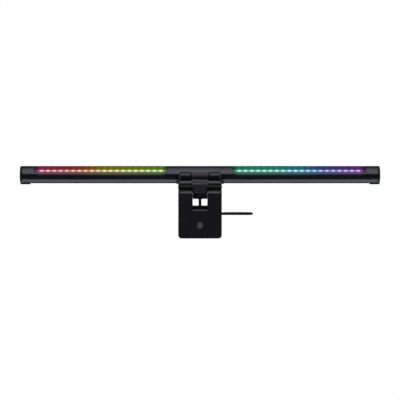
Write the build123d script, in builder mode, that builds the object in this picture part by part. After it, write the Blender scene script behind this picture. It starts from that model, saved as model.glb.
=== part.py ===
"""Monitor light bar: a lamp tube on a tilt hinge, a saddle clamp and a sprung rear leg.

Millimetres. +X runs along the tube, +Y points at the person who works at the monitor,
and +Z is up. The origin is the middle of the saddle's underside, which rests on the
monitor's top edge.
"""
from math import cos, pi, radians, sin, tan
import os

from build123d import *

os.makedirs("parts", exist_ok=True)

# ---- Driving dimensions -------------------------------------------------------------

# Lamp tube
BAR_LENGTH = 450.0
BAR_RADIUS = 11.0
BAR_WALL = 1.2
BAR_Y = 30.0
BAR_Z = 13.4
CAP_THICK = 3.0
FIT_GAP = 0.2

# Downward task light: direction in degrees from +Y towards +Z
TASK_DIR = -76.0
TASK_HALF_ANGLE = 28.0
TASK_HALF_LENGTH = 212.5
TASK_PROUD = 1.0
TASK_LED_COUNT = 60
TASK_LED_PITCH = 7.0

# Coloured light on the rear top
RGB_FROM = 100.0
RGB_TO = 157.0
RGB_INNER_X = 41.0
RGB_OUTER_X = 207.0
RGB_LED_DIR = 137.0
RGB_LED_FIRST_X = 49.0
RGB_LED_PITCH = 7.8125
RGB_LED_COUNT = 20

# Touch keys on the front top
TOUCH_DIR = 55.0
TOUCH_HALF_ANGLE = 18.0
TOUCH_HALF_LENGTH = 32.0

# Tilt hinge
HINGE_Y = 11.5
HINGE_Z = 13.8
KNUCKLE_RADIUS = 4.6
SPINE_HALF_WIDTH = 10.0
ARM_INNER_X = 10.6
ARM_OUTER_X = 25.6
PIN_RADIUS = 2.0
BUSH_RADIUS = 3.0
RUNNING_GAP = 0.03

# Screws from the bracket into the tube
SCREW_X = 28.0
SCREW_DIR = 224.0
SCREW_TIP = 8.6
SCREW_HEAD_NEAR = 12.8

# Saddle clamp
SADDLE_WIDTH = 54.0
SADDLE_REAR_Y = -18.0
SADDLE_FRONT_Y = 16.4
SADDLE_TOP_Z = 4.0
PAD_THICK = 1.0
LIP_DEPTH = 9.0
LIP_THICK = 2.4
LIP_PAD_THICK = 1.5

# Spine between the hinge and the rear leg
SPINE_WALL = 1.4
SPINE_REAR_Y = -29.4
SPINE_BOTTOM_Z = -4.5
NECK_HALF_WIDTH = 8.0

# Rear leg
AXLE_Y = -24.5
AXLE_Z = -7.7
AXLE_RADIUS = 1.5
LEG_WIDTH = 53.4
LEG_TOP_Z = -1.3
LEG_BOTTOM_Z = -59.9
LEG_REAR_Y = -30.0
LEG_SEAM_Y = -24.5
LEG_FRONT_Y = -19.0
LEG_WALL = 1.8
LEG_CORNER = 4.0
LEG_EDGE = 3.2
NOTCH_HALF_WIDTH = 9.0
COVER_NOTCH_Z = -23.5
SHELL_NOTCH_Z = -20.0
NOTCH_WALL = 1.4
LEG_PAD_THICK = 6.0

# Power lead
PORT_Z = -29.5
CORD_DIAMETER = 3.4
CORD_LENGTH = 1500.0
FLOOR_Z = -60.0
COIL_Y = 38.5
COIL_MEAN_RADIUS = 18.0
COIL_COLUMNS = 3
COIL_LAYERS = 4
COIL_PITCH = 3.6
TIE_THICK = 0.8

SIDES = {"left": -1, "right": 1}

# ---- Derived places -----------------------------------------------------------------

BAR_HALF = BAR_LENGTH / 2
TUBE_HALF = BAR_HALF - CAP_THICK
BAR_BORE = BAR_RADIUS - BAR_WALL
LEG_HALF = LEG_WIDTH / 2
LEG_HEIGHT = LEG_TOP_Z - LEG_BOTTOM_Z
LEG_MID_Z = (LEG_TOP_Z + LEG_BOTTOM_Z) / 2


def bar_plane(x=0.0):
    """Section plane of the tube, with its origin on the tube's axis."""
    return Plane(origin=(x, BAR_Y, BAR_Z), x_dir=(0, 1, 0), z_dir=(1, 0, 0))


def side_plane(x=0.0):
    """Section plane across the width, with Y and Z as its own axes."""
    return Plane(origin=(x, 0, 0), x_dir=(0, 1, 0), z_dir=(1, 0, 0))


def back_plane(y=0.0):
    """Plane that faces the rear, with X and Z as its own axes."""
    return Plane(origin=(0, y, 0), x_dir=(1, 0, 0), z_dir=(0, -1, 0))


def polar(radius, angle):
    """Point at a radius and an angle in degrees."""
    return (radius * cos(radians(angle)), radius * sin(radians(angle)))


def ring_sector(inner, outer, start, end, mode=Mode.ADD):
    """Draw the part of a ring between two angles in the sketch being built."""
    with BuildLine() as outline:
        CenterArc((0, 0), outer, start, end - start)
        Line(polar(outer, end), polar(inner, end))
        CenterArc((0, 0), inner, start, end - start)
        Line(polar(inner, start), polar(outer, start))
    make_face(outline.edges(), mode=mode)


def chord_plate(direction, near, far, half_width, mode=Mode.ADD):
    """Draw a flat plate's section, square to a direction and between two distances."""
    with Locations(Rot(0, 0, direction) * Pos((near + far) / 2, 0)):
        Rectangle(far - near, 2 * half_width, mode=mode)


def screw_plane(side, distance):
    """Plane across a bracket screw, at a distance from the tube's axis."""
    y, z = polar(1.0, SCREW_DIR)
    origin = (side * SCREW_X, BAR_Y + distance * y, BAR_Z + distance * z)
    return Plane(origin=origin, z_dir=(0, y, z))


def save(piece, name):
    """Label a finished piece and write its file."""
    piece.label = name
    export_step(piece, f"parts/{name}.step")


# ---- Lamp tube ----------------------------------------------------------------------

task_from = TASK_DIR - TASK_HALF_ANGLE
task_to = TASK_DIR + TASK_HALF_ANGLE
touch_from = TOUCH_DIR - TOUCH_HALF_ANGLE
touch_to = TOUCH_DIR + TOUCH_HALF_ANGLE
rgb_length = RGB_OUTER_X - RGB_INNER_X

with BuildPart() as bar_housing:
    with BuildSketch(bar_plane()):
        Circle(BAR_RADIUS)
        Circle(BAR_BORE, mode=Mode.SUBTRACT)
    extrude(amount=TUBE_HALF, both=True)
    with BuildSketch(bar_plane()):
        ring_sector(BAR_BORE - 1, BAR_RADIUS + 1, task_from - 0.5, task_to + 0.5)
    extrude(amount=BAR_HALF, both=True, mode=Mode.SUBTRACT)
    with BuildSketch(bar_plane()):
        ring_sector(BAR_BORE - 1, BAR_RADIUS + 1, touch_from - 0.5, touch_to + 0.5)
    extrude(amount=TOUCH_HALF_LENGTH + FIT_GAP, both=True, mode=Mode.SUBTRACT)
    for side in SIDES.values():
        with BuildSketch(bar_plane(side * (RGB_INNER_X - FIT_GAP))):
            ring_sector(BAR_BORE - 1, BAR_RADIUS + 1, RGB_FROM - 0.5, RGB_TO + 0.5)
        extrude(amount=side * (rgb_length + 2 * FIT_GAP), mode=Mode.SUBTRACT)
        with BuildSketch(screw_plane(side, SCREW_TIP)):
            Circle(1.0)
        extrude(amount=10, mode=Mode.SUBTRACT)

save(bar_housing.part, "bar_housing")

cap_skirt_length = BAR_HALF - TASK_HALF_LENGTH - CAP_THICK - FIT_GAP
for name, side in SIDES.items():
    with BuildPart() as end_cap:
        with BuildSketch(bar_plane(side * TUBE_HALF)):
            Circle(BAR_RADIUS)
            ring_sector(BAR_BORE, BAR_RADIUS + TASK_PROUD, task_from, task_to)
        extrude(amount=side * CAP_THICK)
        fillet(end_cap.faces().sort_by(Axis.X)[-1 if side > 0 else 0].edges(), radius=0.8)
        with BuildSketch(bar_plane(side * TUBE_HALF)):
            Circle(BAR_BORE - 0.1)
            Circle(BAR_BORE - 1.3, mode=Mode.SUBTRACT)
            ring_sector(BAR_BORE - 1, BAR_RADIUS + 1, task_from - 2, task_to + 2, mode=Mode.SUBTRACT)
        extrude(amount=-side * 5)
        with BuildSketch(bar_plane(side * TUBE_HALF)):
            ring_sector(BAR_BORE - 1.3, BAR_RADIUS + TASK_PROUD, task_from, task_to)
        extrude(amount=-side * cap_skirt_length)
    save(end_cap.part, f"end_cap_{name}")

with BuildPart() as task_diffuser:
    with BuildSketch(bar_plane()):
        ring_sector(BAR_BORE - 1.2, BAR_BORE - 0.1, task_from - 8, task_to + 8)
        ring_sector(BAR_BORE - 0.2, BAR_RADIUS + TASK_PROUD, task_from, task_to)
        ring_sector(BAR_BORE - 2, BAR_RADIUS - 0.6, task_from + 8, task_to - 8, mode=Mode.SUBTRACT)
    extrude(amount=TASK_HALF_LENGTH - FIT_GAP, both=True)

save(task_diffuser.part, "task_diffuser")

# The carrier is a light extrusion: one plate behind each circuit board and a web between.
TASK_BOARD_NEAR = 3.0
TASK_BOARD_THICK = 1.0
RGB_BOARD_NEAR = 5.6
RGB_BOARD_THICK = 1.0
carrier_half = TUBE_HALF - 6

with BuildPart() as led_carrier:
    with BuildSketch(bar_plane()):
        chord_plate(TASK_DIR, TASK_BOARD_NEAR - 1.6, TASK_BOARD_NEAR, 9.0)
        chord_plate(RGB_LED_DIR, RGB_BOARD_NEAR - 1.6, RGB_BOARD_NEAR, 4.7)
        with Locations(polar(RGB_BOARD_NEAR - 2.6, RGB_LED_DIR + 6)):
            with Locations(Rot(0, 0, TASK_DIR) * Pos(2.2, 0)):
                Rectangle(5.6, 2.2)
    extrude(amount=carrier_half, both=True)

save(led_carrier.part, "led_carrier")

with BuildPart() as task_led_board:
    with BuildSketch(bar_plane()):
        chord_plate(TASK_DIR, TASK_BOARD_NEAR, TASK_BOARD_NEAR + TASK_BOARD_THICK, 4.5)
    extrude(amount=TASK_HALF_LENGTH - 2, both=True)

save(task_led_board.part, "task_led_board")

task_led_near = TASK_BOARD_NEAR + TASK_BOARD_THICK
task_row = [(i - (TASK_LED_COUNT - 1) / 2) * TASK_LED_PITCH for i in range(TASK_LED_COUNT)]

with BuildPart() as task_leds:
    for x in task_row:
        with BuildSketch(bar_plane(x)):
            chord_plate(TASK_DIR, task_led_near, task_led_near + 0.7, 1.4)
        extrude(amount=1.7, both=True)

save(task_leds.part, "task_leds")

rgb_row = [RGB_LED_FIRST_X + i * RGB_LED_PITCH for i in range(RGB_LED_COUNT)]
rgb_led_near = RGB_BOARD_NEAR + RGB_BOARD_THICK
for name, side in SIDES.items():
    with BuildPart() as rgb_lens:
        with BuildSketch(bar_plane(side * RGB_INNER_X)):
            ring_sector(BAR_BORE - 1.2, BAR_BORE - 0.1, RGB_FROM - 4, RGB_TO + 4)
            ring_sector(BAR_BORE - 0.2, BAR_RADIUS, RGB_FROM, RGB_TO)
            ring_sector(BAR_BORE - 2, BAR_RADIUS - 1.5, RGB_FROM + 4, RGB_TO - 4, mode=Mode.SUBTRACT)
        extrude(amount=side * rgb_length)
    save(rgb_lens.part, f"rgb_lens_{name}")

    with BuildPart() as rgb_board:
        with BuildSketch(bar_plane(side * (RGB_INNER_X + 2))):
            chord_plate(RGB_LED_DIR, RGB_BOARD_NEAR, RGB_BOARD_NEAR + RGB_BOARD_THICK, 4.2)
        extrude(amount=side * (rgb_length - 4))
    save(rgb_board.part, f"rgb_board_{name}")

    with BuildPart() as rgb_leds:
        for x in rgb_row:
            with BuildSketch(bar_plane(side * x)):
                chord_plate(RGB_LED_DIR, rgb_led_near, rgb_led_near + 1.0, 1.75)
            extrude(amount=1.75, both=True)
    save(rgb_leds.part, f"rgb_leds_{name}")

with BuildPart() as touch_panel:
    with BuildSketch(bar_plane()):
        ring_sector(BAR_BORE + 0.05, BAR_RADIUS, touch_from, touch_to)
    extrude(amount=TOUCH_HALF_LENGTH, both=True)

save(touch_panel.part, "touch_panel")

with BuildPart() as control_board:
    with BuildSketch(bar_plane()):
        chord_plate(TOUCH_DIR, 6.3, 7.3, 3.8)
    extrude(amount=TOUCH_HALF_LENGTH - 2, both=True)

save(control_board.part, "control_board")

# ---- Tilt hinge on the tube ---------------------------------------------------------

WRAP_THICK = 1.6
WRAP_FROM = 165.0
WRAP_TO = 236.0
WRAP_NARROW = 25.7
WRAP_WIDE = 30.4
CAP_RADIUS = 3.4
PIN_HALF = 22.0
barrel_room = KNUCKLE_RADIUS + 0.5

with BuildPart() as hinge_bracket:
    with BuildSketch(bar_plane()):
        ring_sector(BAR_RADIUS, BAR_RADIUS + WRAP_THICK, WRAP_FROM, WRAP_TO)
    extrude(amount=WRAP_WIDE, both=True)
    with BuildSketch(back_plane(BAR_Y)):
        with BuildLine():
            Polyline(
                (-WRAP_NARROW, BAR_Z + 6),
                (WRAP_NARROW, BAR_Z + 6),
                (WRAP_NARROW, BAR_Z + 1),
                (WRAP_WIDE, BAR_Z - 6),
                (WRAP_WIDE, BAR_Z - 14),
                (-WRAP_WIDE, BAR_Z - 14),
                (-WRAP_WIDE, BAR_Z - 6),
                (-WRAP_NARROW, BAR_Z + 1),
                close=True,
            )
        make_face()
    extrude(amount=30, mode=Mode.INTERSECT)
    for side in SIDES.values():
        with BuildSketch(side_plane(side * ARM_INNER_X)):
            with Locations((HINGE_Y, HINGE_Z)):
                Circle(KNUCKLE_RADIUS)
            with BuildLine():
                Polyline(
                    (HINGE_Y, HINGE_Z + KNUCKLE_RADIUS),
                    (HINGE_Y + 5.0, HINGE_Z + KNUCKLE_RADIUS),
                    (HINGE_Y + 8.4, HINGE_Z + 3.4),
                    (HINGE_Y + 9.6, HINGE_Z - 5.0),
                    (HINGE_Y + 2.0, HINGE_Z - KNUCKLE_RADIUS),
                    (HINGE_Y, HINGE_Z - KNUCKLE_RADIUS),
                    close=True,
                )
            make_face()
            with Locations((BAR_Y, BAR_Z)):
                Circle(BAR_RADIUS, mode=Mode.SUBTRACT)
        extrude(amount=side * (ARM_OUTER_X - ARM_INNER_X))
    # Bevelled shoulders on the knuckles
    shoulders = hinge_bracket.edges().filter_by(GeomType.CIRCLE)
    shoulders = [e for e in shoulders if abs(e.radius - KNUCKLE_RADIUS) < 0.01]
    chamfer([e for e in shoulders if abs(e.center().X) < ARM_INNER_X + 1], length=1.6)
    chamfer([e for e in shoulders if abs(e.center().X) > ARM_OUTER_X - 1], length=0.9)
    # Room for the spine's barrel between the arms
    with Locations((0, HINGE_Y, HINGE_Z)):
        Cylinder(barrel_room, 2 * ARM_INNER_X, rotation=(0, 90, 0), mode=Mode.SUBTRACT)
    with Locations((0, HINGE_Y, HINGE_Z)):
        Cylinder(PIN_RADIUS, 80, rotation=(0, 90, 0), mode=Mode.SUBTRACT)
    for side in SIDES.values():
        with Locations((side * (PIN_HALF + 5), HINGE_Y, HINGE_Z)):
            Cylinder(CAP_RADIUS, 10, rotation=(0, 90, 0), mode=Mode.SUBTRACT)
        with BuildSketch(screw_plane(side, SCREW_TIP)):
            Circle(1.0)
        extrude(amount=10, mode=Mode.SUBTRACT)

save(hinge_bracket.part, "hinge_bracket")

with BuildPart() as tilt_pin:
    with Locations((0, HINGE_Y, HINGE_Z)):
        Cylinder(PIN_RADIUS, 2 * PIN_HALF, rotation=(0, 90, 0))
    chamfer(tilt_pin.edges().filter_by(GeomType.CIRCLE), length=0.4)

save(tilt_pin.part, "tilt_pin")

with BuildPart() as pin_caps:
    for side in SIDES.values():
        with BuildSketch(side_plane(side * PIN_HALF)):
            with Locations((HINGE_Y, HINGE_Z)):
                Circle(CAP_RADIUS)
        extrude(amount=side * (ARM_OUTER_X - PIN_HALF - 0.2))

save(pin_caps.part, "pin_caps")

with BuildPart() as friction_washers:
    for side in SIDES.values():
        with BuildSketch(side_plane(side * (SPINE_HALF_WIDTH + 0.05))):
            with Locations((HINGE_Y, HINGE_Z)):
                Circle(KNUCKLE_RADIUS - 1.4)
                Circle(PIN_RADIUS, mode=Mode.SUBTRACT)
        extrude(amount=side * (ARM_INNER_X - SPINE_HALF_WIDTH - 0.05))

save(friction_washers.part, "friction_washers")

# One screw at each end of the wrap holds the bracket to the tube.
with BuildPart() as bracket_screws:
    for side in SIDES.values():
        for near, length, radius in ((SCREW_HEAD_NEAR, 1.1, 1.9), (SCREW_TIP, SCREW_HEAD_NEAR - SCREW_TIP, 1.0)):
            with BuildSketch(screw_plane(side, near)):
                Circle(radius)
            extrude(amount=length)

save(bracket_screws.part, "bracket_screws")

# ---- Saddle clamp -------------------------------------------------------------------

spine_slope = 3.0
SPINE_REAR_TOP_Z = 7.9
FOOT_REAR_Y = HINGE_Y - 4.8
FOOT_WAIST_Y = HINGE_Y - 2.5
COVER_FRONT_Y = FOOT_REAR_Y - 0.3


def spine_top(y, drop=0.0):
    """Height of the spine's sloping top at a place along its length."""
    return SPINE_REAR_TOP_Z - (y - SPINE_REAR_Y) * tan(radians(spine_slope)) - drop


def spine_outline(inset, bottom_z, front_round, rear_round):
    """Draw the spine's side outline behind the foot, moved inwards by the inset."""
    rear = SPINE_REAR_Y + inset
    drop = inset / cos(radians(spine_slope))
    with BuildLine() as outline:
        FilletPolyline(
            (COVER_FRONT_Y, SADDLE_TOP_Z),
            (COVER_FRONT_Y, spine_top(COVER_FRONT_Y, drop)),
            (rear, spine_top(rear, drop)),
            (rear, bottom_z),
            radius=[front_round, rear_round],
        )
        Polyline(
            (rear, bottom_z),
            (-19.5, bottom_z),
            (-19.5, SADDLE_TOP_Z),
            (COVER_FRONT_Y, SADDLE_TOP_Z),
        )
    make_face(outline.edges())


def neck_outline(half_wide, half_narrow):
    """Draw the spine's outline from behind: narrower where it stands in the leg's notch."""
    with BuildLine() as outline:
        Polyline(
            (-half_wide, 25),
            (half_wide, 25),
            (half_wide, SADDLE_TOP_Z),
            (half_narrow, 1.8),
            (half_narrow, -20),
            (-half_narrow, -20),
            (-half_narrow, 1.8),
            (-half_wide, SADDLE_TOP_Z),
            close=True,
        )
    make_face(outline.edges())


LUG_RADIUS = 3.0
LUG_INNER_X = 2.1
LUG_OUTER_X = 3.6
RIB_HALF = NECK_HALF_WIDTH - SPINE_WALL
CHANNEL_HALF = 1.6
CHANNEL_START_Y = 6.0
CHANNEL_DEPTH = 2.2
HOOK_HOLE_RADIUS = 0.55
HOOK_BEND = 0.8
SPRING_MEAN_RADIUS = 2.75
SPRING_WIRE_RADIUS = 0.38
APRON_REAR_Y = -19.4
APRON_FRONT_Y = -17.6
APRON_BOTTOM_Z = -12.0
APRON_HALF = 8.8
COVER_SCREW_X = 4.5
COVER_SCREW_Y = -12.0
COVER_SCREW_TIP_Z = 6.3

with BuildPart() as saddle_frame:
    # Plate with rounded corners, its front edge bent down into a lip
    with BuildSketch(Plane.XY.offset(PAD_THICK)):
        with Locations((0, (SADDLE_REAR_Y + SADDLE_FRONT_Y) / 2)):
            RectangleRounded(SADDLE_WIDTH, SADDLE_FRONT_Y - SADDLE_REAR_Y, 2.0)
    extrude(amount=SADDLE_TOP_Z - PAD_THICK)
    with BuildSketch(back_plane(SADDLE_FRONT_Y)):
        with Locations((0, (SADDLE_TOP_Z - 1.0 - LIP_DEPTH) / 2)):
            RectangleRounded(SADDLE_WIDTH - 0.4, SADDLE_TOP_Z - 1.0 + LIP_DEPTH, 1.5)
    extrude(amount=LIP_THICK)
    top_edges = saddle_frame.faces().sort_by(Axis.Z)[-1].edges()
    fillet(top_edges, radius=0.9)
    # Foot and barrel of the tilt hinge
    with BuildSketch(side_plane()):
        with Locations((HINGE_Y, HINGE_Z)):
            Circle(KNUCKLE_RADIUS)
        with BuildLine():
            Polyline(
                (FOOT_REAR_Y, SADDLE_TOP_Z - 1),
                (FOOT_REAR_Y, SADDLE_TOP_Z + 2.1),
                (FOOT_WAIST_Y, HINGE_Z - 4.2),
                (FOOT_WAIST_Y, HINGE_Z),
                (HINGE_Y + 3.0, HINGE_Z),
                (HINGE_Y + 3.4, SADDLE_TOP_Z - 1),
                close=True,
            )
        make_face()
    extrude(amount=SPINE_HALF_WIDTH, both=True)
    # Rib under the cover, with a rear drop that carries two lugs
    with BuildSketch(side_plane()):
        spine_outline(SPINE_WALL, -3.9, 0.3, 0.8)
        with Locations((COVER_FRONT_Y, SADDLE_TOP_Z - 0.1)):
            Rectangle(2.4, 1.2)
        with Locations(((APRON_REAR_Y + APRON_FRONT_Y) / 2, -0.9)):
            Rectangle(2.4, 6.0)
    extrude(amount=RIB_HALF, both=True)
    # Apron that closes the upper part of the leg's windows behind the springs
    with BuildSketch(side_plane()):
        with Locations(((APRON_REAR_Y + APRON_FRONT_Y) / 2, (APRON_BOTTOM_Z + 2.0) / 2)):
            Rectangle(APRON_FRONT_Y - APRON_REAR_Y, 2.0 - APRON_BOTTOM_Z)
    extrude(amount=APRON_HALF, both=True)
    for side in SIDES.values():
        with BuildSketch(side_plane(side * LUG_INNER_X)):
            with Locations((AXLE_Y, AXLE_Z)):
                Circle(LUG_RADIUS)
            with Locations((AXLE_Y, (AXLE_Z - 3.0) / 2)):
                Rectangle(2 * LUG_RADIUS, -3.0 - AXLE_Z)
        extrude(amount=side * (LUG_OUTER_X - LUG_INNER_X))
    # Bores for the bush, the leg's axle and the springs' hooks
    with Locations((0, HINGE_Y, HINGE_Z)):
        Cylinder(BUSH_RADIUS, 3 * SPINE_HALF_WIDTH, rotation=(0, 90, 0), mode=Mode.SUBTRACT)
    with Locations((0, AXLE_Y, AXLE_Z)):
        Cylinder(AXLE_RADIUS, 3 * LUG_OUTER_X, rotation=(0, 90, 0), mode=Mode.SUBTRACT)
    with Locations((0, AXLE_Y + HOOK_BEND, AXLE_Z + SPRING_MEAN_RADIUS)):
        Cylinder(HOOK_HOLE_RADIUS, 3 * LUG_OUTER_X, rotation=(0, 90, 0), mode=Mode.SUBTRACT)
    # Channel for the wires: along the top of the rib and down its rear face
    with BuildSketch(side_plane()):
        with BuildLine():
            Polyline(
                (CHANNEL_START_Y, spine_top(CHANNEL_START_Y, SPINE_WALL) + 2),
                (-40, spine_top(-40, SPINE_WALL) + 2),
                (-40, -10),
                (SPINE_REAR_Y + SPINE_WALL + CHANNEL_DEPTH, -10),
                (SPINE_REAR_Y + SPINE_WALL + CHANNEL_DEPTH, spine_top(-24, SPINE_WALL + CHANNEL_DEPTH)),
                (CHANNEL_START_Y, spine_top(CHANNEL_START_Y, SPINE_WALL + CHANNEL_DEPTH)),
                close=True,
            )
        make_face()
    extrude(amount=CHANNEL_HALF, both=True, mode=Mode.SUBTRACT)
    # Pilot holes for the cover's two screws
    for side in SIDES.values():
        with Locations((side * COVER_SCREW_X, COVER_SCREW_Y, SADDLE_TOP_Z + 1.0)):
            Cylinder(0.9, 8.0, mode=Mode.SUBTRACT)

save(saddle_frame.part, "saddle_frame")

with BuildPart() as spine_cover:
    with BuildSketch(side_plane()):
        spine_outline(0.0, SPINE_BOTTOM_Z, 1.0, 1.6)
    extrude(amount=SPINE_HALF_WIDTH, both=True)
    rim = spine_cover.faces().filter_by(Axis.X).edges()
    rim = [e for e in rim if e.center().Z > SADDLE_TOP_Z + 0.5 or e.center().Y < SPINE_REAR_Y + 1]
    rim = [e for e in rim if e.center().Y < COVER_FRONT_Y - 0.1]
    chamfer(rim, length=0.4)
    with BuildSketch(back_plane(20)):
        neck_outline(SPINE_HALF_WIDTH, NECK_HALF_WIDTH)
    extrude(amount=60, mode=Mode.INTERSECT)
    with BuildSketch(side_plane()):
        spine_outline(SPINE_WALL, SPINE_BOTTOM_Z - 1, 0.3, 0.8)
    extrude(amount=RIB_HALF, both=True, mode=Mode.SUBTRACT)
    for side in SIDES.values():
        with Locations((side * COVER_SCREW_X, COVER_SCREW_Y, COVER_SCREW_TIP_Z / 2)):
            Cylinder(0.9, COVER_SCREW_TIP_Z, mode=Mode.SUBTRACT)

save(spine_cover.part, "spine_cover")

with BuildPart() as saddle_pad:
    with BuildSketch(Plane.XY):
        with Locations((0, -1.9)):
            RectangleRounded(SADDLE_WIDTH - 0.4, 28.6, 1.0)
    extrude(amount=PAD_THICK)

save(saddle_pad.part, "saddle_pad")

with BuildPart() as lip_pad:
    with BuildSketch(back_plane(SADDLE_FRONT_Y - LIP_THICK)):
        with Locations((0, (PAD_THICK - LIP_DEPTH) / 2)):
            RectangleRounded(SADDLE_WIDTH - 3, LIP_DEPTH + PAD_THICK - 1.2, 1.0)
    extrude(amount=LIP_PAD_THICK)

save(lip_pad.part, "lip_pad")

with BuildPart() as tilt_bush:
    with BuildSketch(side_plane()):
        with Locations((HINGE_Y, HINGE_Z)):
            Circle(BUSH_RADIUS)
            Circle(PIN_RADIUS + RUNNING_GAP, mode=Mode.SUBTRACT)
    extrude(amount=SPINE_HALF_WIDTH, both=True)

save(tilt_bush.part, "tilt_bush")

with BuildPart() as spine_screws:
    for side in SIDES.values():
        with BuildSketch(Plane.XY.offset(PAD_THICK + 0.1)):
            with Locations((side * COVER_SCREW_X, COVER_SCREW_Y)):
                Circle(0.9)
        extrude(amount=COVER_SCREW_TIP_Z - PAD_THICK - 0.1)

save(spine_screws.part, "spine_screws")

HARNESS_INSET = SPINE_WALL + CHANNEL_DEPTH / 2
harness_rear = SPINE_REAR_Y + HARNESS_INSET
with BuildPart() as spine_harness:
    with BuildLine():
        wire_run = FilletPolyline(
            (0, CHANNEL_START_Y - 1, spine_top(CHANNEL_START_Y - 1, HARNESS_INSET)),
            (0, harness_rear, spine_top(harness_rear, HARNESS_INSET)),
            (0, harness_rear, -3.0),
            radius=1.5,
        )
    with BuildSketch(Plane(origin=wire_run @ 0, x_dir=(1, 0, 0), z_dir=wire_run % 0)):
        RectangleRounded(2.6, 1.4, 0.65)
    sweep()

save(spine_harness.part, "spine_harness")

BUSH_OUTER_X = 13.4
BUSH_WALL_RADIUS = 2.1
with BuildPart() as leg_axle:
    with Locations((0, AXLE_Y, AXLE_Z)):
        Cylinder(AXLE_RADIUS, 2 * BUSH_OUTER_X, rotation=(0, 90, 0))
    chamfer(leg_axle.edges().filter_by(GeomType.CIRCLE), length=0.3)

save(leg_axle.part, "leg_axle")

# ---- Rear leg -----------------------------------------------------------------------

BOSS_RADIUS = 3.6
MULLION_HALF = 1.75
LEDGE_ROUND = 2.2
SCREW_PLACES = [(sx * 21.0, z) for sx in (-1, 1) for z in (-8.5, -53.5)]
POST_RADIUS = 2.4
LEG_FLOOR_Y = LEG_FRONT_Y - LEG_WALL
PORT_HALF_HEIGHT = 6.4
PORT_REAR_Y = -27.9
PORT_FRONT_Y = -21.1
cover_inner_y = LEG_REAR_Y + LEG_WALL


def leg_outline(inset=0.0):
    """Draw the leg's outline from behind, moved inwards by the inset: its lower corners are round."""
    with Locations((0, LEG_MID_Z)):
        RectangleRounded(LEG_WIDTH - 2 * inset, LEG_HEIGHT - 2 * inset, LEG_CORNER - inset)
    with Locations((0, LEG_TOP_Z - inset - LEG_CORNER)):
        Rectangle(LEG_WIDTH - 2 * inset, 2 * LEG_CORNER)


def notch(bottom_z, half_width, mode=Mode.SUBTRACT):
    """Draw the notch that lets the spine in at the leg's top."""
    with Locations((0, (LEG_TOP_Z + 1 + bottom_z) / 2)):
        Rectangle(2 * half_width, LEG_TOP_Z + 1 - bottom_z, mode=mode)


def port_cut():
    """Cut the recessed port through the leg's right wall in the part being built."""
    with BuildSketch(side_plane(12.5)) as opening:
        with Locations(((PORT_REAR_Y + PORT_FRONT_Y) / 2, PORT_Z)):
            RectangleRounded(PORT_FRONT_Y - PORT_REAR_Y, 2 * PORT_HALF_HEIGHT, 2.0)
    extrude(opening.sketch, amount=LEG_HALF, mode=Mode.SUBTRACT)


with BuildPart() as leg_cover:
    with BuildSketch(back_plane(LEG_SEAM_Y)):
        leg_outline()
    extrude(amount=LEG_SEAM_Y - LEG_REAR_Y)
    fillet(leg_cover.faces().sort_by(Axis.Y)[0].edges(), radius=LEG_EDGE)
    with BuildSketch(back_plane(LEG_SEAM_Y)):
        leg_outline(LEG_WALL)
        notch(COVER_NOTCH_Z - NOTCH_WALL, NOTCH_HALF_WIDTH + NOTCH_WALL)
    extrude(amount=LEG_SEAM_Y - cover_inner_y, mode=Mode.SUBTRACT)
    with BuildSketch(back_plane(LEG_SEAM_Y)):
        notch(COVER_NOTCH_Z, NOTCH_HALF_WIDTH, mode=Mode.ADD)
    extrude(amount=LEG_SEAM_Y - LEG_REAR_Y, mode=Mode.SUBTRACT)
    # Ledge below the notch, rounded where it meets the rear face
    with BuildSketch(side_plane()):
        with Locations((LEG_REAR_Y + LEDGE_ROUND / 2 - 0.5, COVER_NOTCH_Z - LEDGE_ROUND / 2 + 0.5)):
            Rectangle(LEDGE_ROUND + 1, LEDGE_ROUND + 1)
        with Locations((LEG_REAR_Y + LEDGE_ROUND, COVER_NOTCH_Z - LEDGE_ROUND)):
            Circle(LEDGE_ROUND, mode=Mode.SUBTRACT)
    extrude(amount=NOTCH_HALF_WIDTH, both=True, mode=Mode.SUBTRACT)
    with BuildSketch(back_plane(cover_inner_y)):
        with Locations(*SCREW_PLACES):
            Circle(POST_RADIUS)
    extrude(amount=-(LEG_FLOOR_Y - cover_inner_y))
    with BuildSketch(back_plane(LEG_FLOOR_Y)):
        with Locations(*SCREW_PLACES):
            Circle(1.0)
    extrude(amount=5.4, mode=Mode.SUBTRACT)
    for side in SIDES.values():
        with BuildSketch(side_plane(side * (NOTCH_HALF_WIDTH - 1))):
            with Locations((AXLE_Y, AXLE_Z)):
                Circle(BOSS_RADIUS + 0.1)
        extrude(amount=side * 5.2, mode=Mode.SUBTRACT)
    port_cut()
    with BuildSketch(back_plane(LEG_REAR_Y)):
        with Locations((0, -43.7)):
            Circle(4.1)
    extrude(amount=-0.6, mode=Mode.SUBTRACT)

save(leg_cover.part, "leg_cover")

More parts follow.
